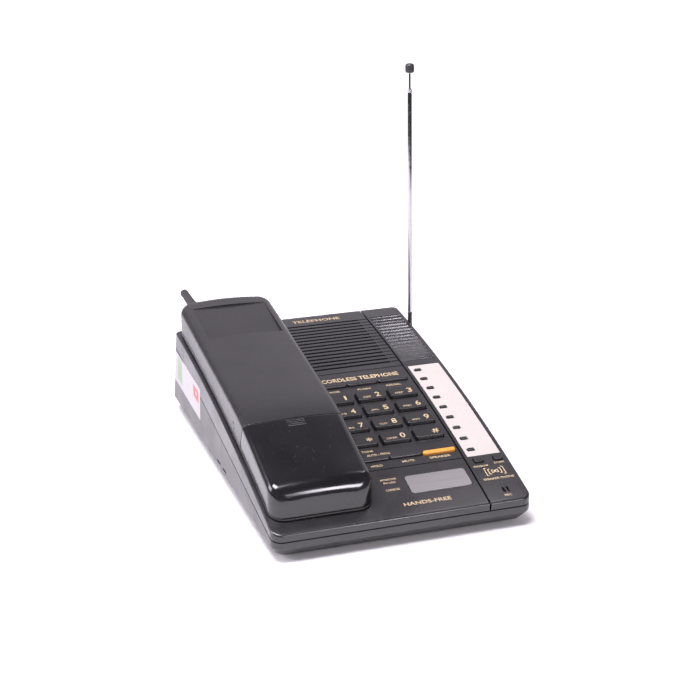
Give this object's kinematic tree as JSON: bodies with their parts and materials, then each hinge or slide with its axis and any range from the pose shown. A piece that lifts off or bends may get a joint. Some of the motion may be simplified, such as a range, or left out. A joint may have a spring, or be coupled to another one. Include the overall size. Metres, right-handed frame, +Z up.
{
  "type": "cordless telephone with base",
  "caption": "Wedge-shaped desk telephone base with push keys, speaker grille, index card and folding telescopic aerial, and a cordless handset face down in its cradle.",
  "frame": {"origin": "on the desk, under the middle of the whole phone's bounding box", "axes": "+Z up, +Y from the low front edge to the high back, +X to the right as the user sees it, the cradle being on the left"},
  "size_m": [0.1624, 0.2609, 0.233],
  "materials": {
    "base_plastic": "charcoal moulded plastic with a fine satin grain",
    "handset_plastic": "charcoal satin plastic",
    "cover_plastic": "black plastic polished by handling, with fine scratches",
    "key_plastic": "black satin plastic",
    "orange_key": "orange plastic, semi-gloss",
    "card_paper": "white card",
    "plate_metal": "brushed, silver grey",
    "rubber": "matte black",
    "chrome": "bright chrome plate",
    "black_plastic": "black satin plastic",
    "black_metal": "black plated metal",
    "contact_metal": "nickel-plated spring brass",
    "circuit_board": "green solder mask",
    "speaker_frame": "black pressed steel",
    "capsule_metal": "drawn aluminium can",
    "battery_wrap": "blue shrink wrap"
  },
  "bodies": {
    "base": {"base_lower_case": "base_plastic", "base_upper_case": "base_plastic", "memory_panel": "base_plastic", "index_card": "card_paper", "name_plate": "plate_metal", "line_jack": "black_plastic", "power_jack": "black_plastic", "key_mat": "rubber", "charge_contact_left": "contact_metal", "charge_contact_right": "contact_metal", "base_circuit_board": "circuit_board", "aerial_boss": "black_plastic", "loudspeaker": "speaker_frame", "base_microphone": "capsule_metal", "foot_front_left": "rubber", "foot_front_right": "rubber", "foot_back_left": "rubber", "foot_back_right": "rubber"},
    "dial_key_1": {"dial_key_1": "key_plastic"},
    "dial_key_2": {"dial_key_2": "key_plastic"},
    "dial_key_3": {"dial_key_3": "key_plastic"},
    "dial_key_4": {"dial_key_4": "key_plastic"},
    "dial_key_5": {"dial_key_5": "key_plastic"},
    "dial_key_6": {"dial_key_6": "key_plastic"},
    "dial_key_7": {"dial_key_7": "key_plastic"},
    "dial_key_8": {"dial_key_8": "key_plastic"},
    "dial_key_9": {"dial_key_9": "key_plastic"},
    "dial_key_star": {"dial_key_star": "key_plastic"},
    "dial_key_0": {"dial_key_0": "key_plastic"},
    "dial_key_hash": {"dial_key_hash": "key_plastic"},
    "pause_key": {"pause_key": "key_plastic"},
    "flash_key": {"flash_key": "key_plastic"},
    "redial_key": {"redial_key": "key_plastic"},
    "hold_key": {"hold_key": "key_plastic"},
    "mute_key": {"mute_key": "key_plastic"},
    "speaker_phone_key": {"speaker_phone_key": "orange_key"},
    "memory_key_1": {"memory_key_1": "key_plastic"},
    "memory_key_2": {"memory_key_2": "key_plastic"},
    "memory_key_3": {"memory_key_3": "key_plastic"},
    "memory_key_4": {"memory_key_4": "key_plastic"},
    "memory_key_5": {"memory_key_5": "key_plastic"},
    "memory_key_6": {"memory_key_6": "key_plastic"},
    "memory_key_7": {"memory_key_7": "key_plastic"},
    "memory_key_8": {"memory_key_8": "key_plastic"},
    "memory_key_9": {"memory_key_9": "key_plastic"},
    "program_key": {"program_key": "key_plastic"},
    "store_key": {"store_key": "key_plastic"},
    "aerial_mast": {"aerial_foot": "black_metal", "aerial_outer_tube": "chrome"},
    "aerial_middle": {"aerial_middle_tube": "chrome"},
    "aerial_top": {"aerial_rod": "chrome", "aerial_tip": "black_plastic"},
    "handset": {"handset_front_case": "handset_plastic", "handset_back_case": "handset_plastic", "battery_pack": "battery_wrap", "handset_keypad": "rubber", "handset_board": "circuit_board", "handset_receiver": "capsule_metal", "handset_antenna": "rubber"},
    "battery_cover": {"battery_cover": "cover_plastic"}
  },
  "joints": [
    {"name": "press_dial_key_1", "type": "slide", "parent": "base", "child": "dial_key_1", "axis": [0, 0.182, -0.9833], "range_m": [0, 0.0012], "stiffness_N_per_m": 400},
    {"name": "press_dial_key_2", "type": "slide", "parent": "base", "child": "dial_key_2", "axis": [0, 0.182, -0.9833], "range_m": [0, 0.0012], "stiffness_N_per_m": 400},
    {"name": "press_dial_key_3", "type": "slide", "parent": "base", "child": "dial_key_3", "axis": [0, 0.182, -0.9833], "range_m": [0, 0.0012], "stiffness_N_per_m": 400},
    {"name": "press_dial_key_4", "type": "slide", "parent": "base", "child": "dial_key_4", "axis": [0, 0.1955, -0.9807], "range_m": [0, 0.0012], "stiffness_N_per_m": 400},
    {"name": "press_dial_key_5", "type": "slide", "parent": "base", "child": "dial_key_5", "axis": [0, 0.1955, -0.9807], "range_m": [0, 0.0012], "stiffness_N_per_m": 400},
    {"name": "press_dial_key_6", "type": "slide", "parent": "base", "child": "dial_key_6", "axis": [0, 0.1955, -0.9807], "range_m": [0, 0.0012], "stiffness_N_per_m": 400},
    {"name": "press_dial_key_7", "type": "slide", "parent": "base", "child": "dial_key_7", "axis": [0, 0.209, -0.9779], "range_m": [0, 0.0012], "stiffness_N_per_m": 400},
    {"name": "press_dial_key_8", "type": "slide", "parent": "base", "child": "dial_key_8", "axis": [0, 0.209, -0.9779], "range_m": [0, 0.0012], "stiffness_N_per_m": 400},
    {"name": "press_dial_key_9", "type": "slide", "parent": "base", "child": "dial_key_9", "axis": [0, 0.209, -0.9779], "range_m": [0, 0.0012], "stiffness_N_per_m": 400},
    {"name": "press_dial_key_star", "type": "slide", "parent": "base", "child": "dial_key_star", "axis": [0, 0.2222, -0.975], "range_m": [0, 0.0012], "stiffness_N_per_m": 400},
    {"name": "press_dial_key_0", "type": "slide", "parent": "base", "child": "dial_key_0", "axis": [0, 0.2222, -0.975], "range_m": [0, 0.0012], "stiffness_N_per_m": 400},
    {"name": "press_dial_key_hash", "type": "slide", "parent": "base", "child": "dial_key_hash", "axis": [0, 0.2222, -0.975], "range_m": [0, 0.0012], "stiffness_N_per_m": 400},
    {"name": "press_pause_key", "type": "slide", "parent": "base", "child": "pause_key", "axis": [0, 0.1671, -0.9859], "range_m": [0, 0.0012], "stiffness_N_per_m": 400},
    {"name": "press_flash_key", "type": "slide", "parent": "base", "child": "flash_key", "axis": [0, 0.1671, -0.9859], "range_m": [0, 0.0012], "stiffness_N_per_m": 400},
    {"name": "press_redial_key", "type": "slide", "parent": "base", "child": "redial_key", "axis": [0, 0.1671, -0.9859], "range_m": [0, 0.0012], "stiffness_N_per_m": 400},
    {"name": "press_hold_key", "type": "slide", "parent": "base", "child": "hold_key", "axis": [0, 0.2375, -0.9714], "range_m": [0, 0.0012], "stiffness_N_per_m": 400},
    {"name": "press_mute_key", "type": "slide", "parent": "base", "child": "mute_key", "axis": [0, 0.2375, -0.9714], "range_m": [0, 0.0012], "stiffness_N_per_m": 400},
    {"name": "press_speaker_phone_key", "type": "slide", "parent": "base", "child": "speaker_phone_key", "axis": [0, 0.238, -0.9713], "range_m": [0, 0.0012], "stiffness_N_per_m": 400},
    {"name": "press_memory_key_1", "type": "slide", "parent": "base", "child": "memory_key_1", "axis": [0, 0.1595, -0.9872], "range_m": [0, 0.0008], "stiffness_N_per_m": 400},
    {"name": "press_memory_key_2", "type": "slide", "parent": "base", "child": "memory_key_2", "axis": [0, 0.1698, -0.9855], "range_m": [0, 0.0008], "stiffness_N_per_m": 400},
    {"name": "press_memory_key_3", "type": "slide", "parent": "base", "child": "memory_key_3", "axis": [0, 0.1799, -0.9837], "range_m": [0, 0.0008], "stiffness_N_per_m": 400},
    {"name": "press_memory_key_4", "type": "slide", "parent": "base", "child": "memory_key_4", "axis": [0, 0.1901, -0.9818], "range_m": [0, 0.0008], "stiffness_N_per_m": 400},
    {"name": "press_memory_key_5", "type": "slide", "parent": "base", "child": "memory_key_5", "axis": [0, 0.2001, -0.9798], "range_m": [0, 0.0008], "stiffness_N_per_m": 400},
    {"name": "press_memory_key_6", "type": "slide", "parent": "base", "child": "memory_key_6", "axis": [0, 0.2101, -0.9777], "range_m": [0, 0.0008], "stiffness_N_per_m": 400},
    {"name": "press_memory_key_7", "type": "slide", "parent": "base", "child": "memory_key_7", "axis": [0, 0.22, -0.9755], "range_m": [0, 0.0008], "stiffness_N_per_m": 400},
    {"name": "press_memory_key_8", "type": "slide", "parent": "base", "child": "memory_key_8", "axis": [0, 0.2299, -0.9732], "range_m": [0, 0.0008], "stiffness_N_per_m": 400},
    {"name": "press_memory_key_9", "type": "slide", "parent": "base", "child": "memory_key_9", "axis": [0, 0.2397, -0.9708], "range_m": [0, 0.0008], "stiffness_N_per_m": 400},
    {"name": "press_program_key", "type": "slide", "parent": "base", "child": "program_key", "axis": [0, 0.249, -0.9685], "range_m": [0, 0.0008], "stiffness_N_per_m": 400},
    {"name": "press_store_key", "type": "slide", "parent": "base", "child": "store_key", "axis": [0, 0.249, -0.9685], "range_m": [0, 0.0008], "stiffness_N_per_m": 400},
    {"name": "aerial_fold", "type": "hinge", "parent": "base", "child": "aerial_mast", "pos_m": [0.07835, 0.07699, 0.05], "axis": [1, 0, 0], "range_deg": [-30, 95]},
    {"name": "aerial_extend_middle", "type": "slide", "parent": "aerial_mast", "child": "aerial_middle", "axis": [0, 0.0384, 0.9993], "range_m": [0, 0.14]},
    {"name": "aerial_extend_rod", "type": "slide", "parent": "aerial_middle", "child": "aerial_top", "axis": [0, 0.0384, 0.9993], "range_m": [-0.009, 0.13]},
    {"name": "handset_lift", "type": "slide", "parent": "base", "child": "handset", "axis": [0, 0, 1], "range_m": [0, 0.12]},
    {"name": "battery_cover_slide", "type": "slide", "parent": "handset", "child": "battery_cover", "axis": [0, -0.9642, -0.2652], "range_m": [0, 0.062]}
  ]
}
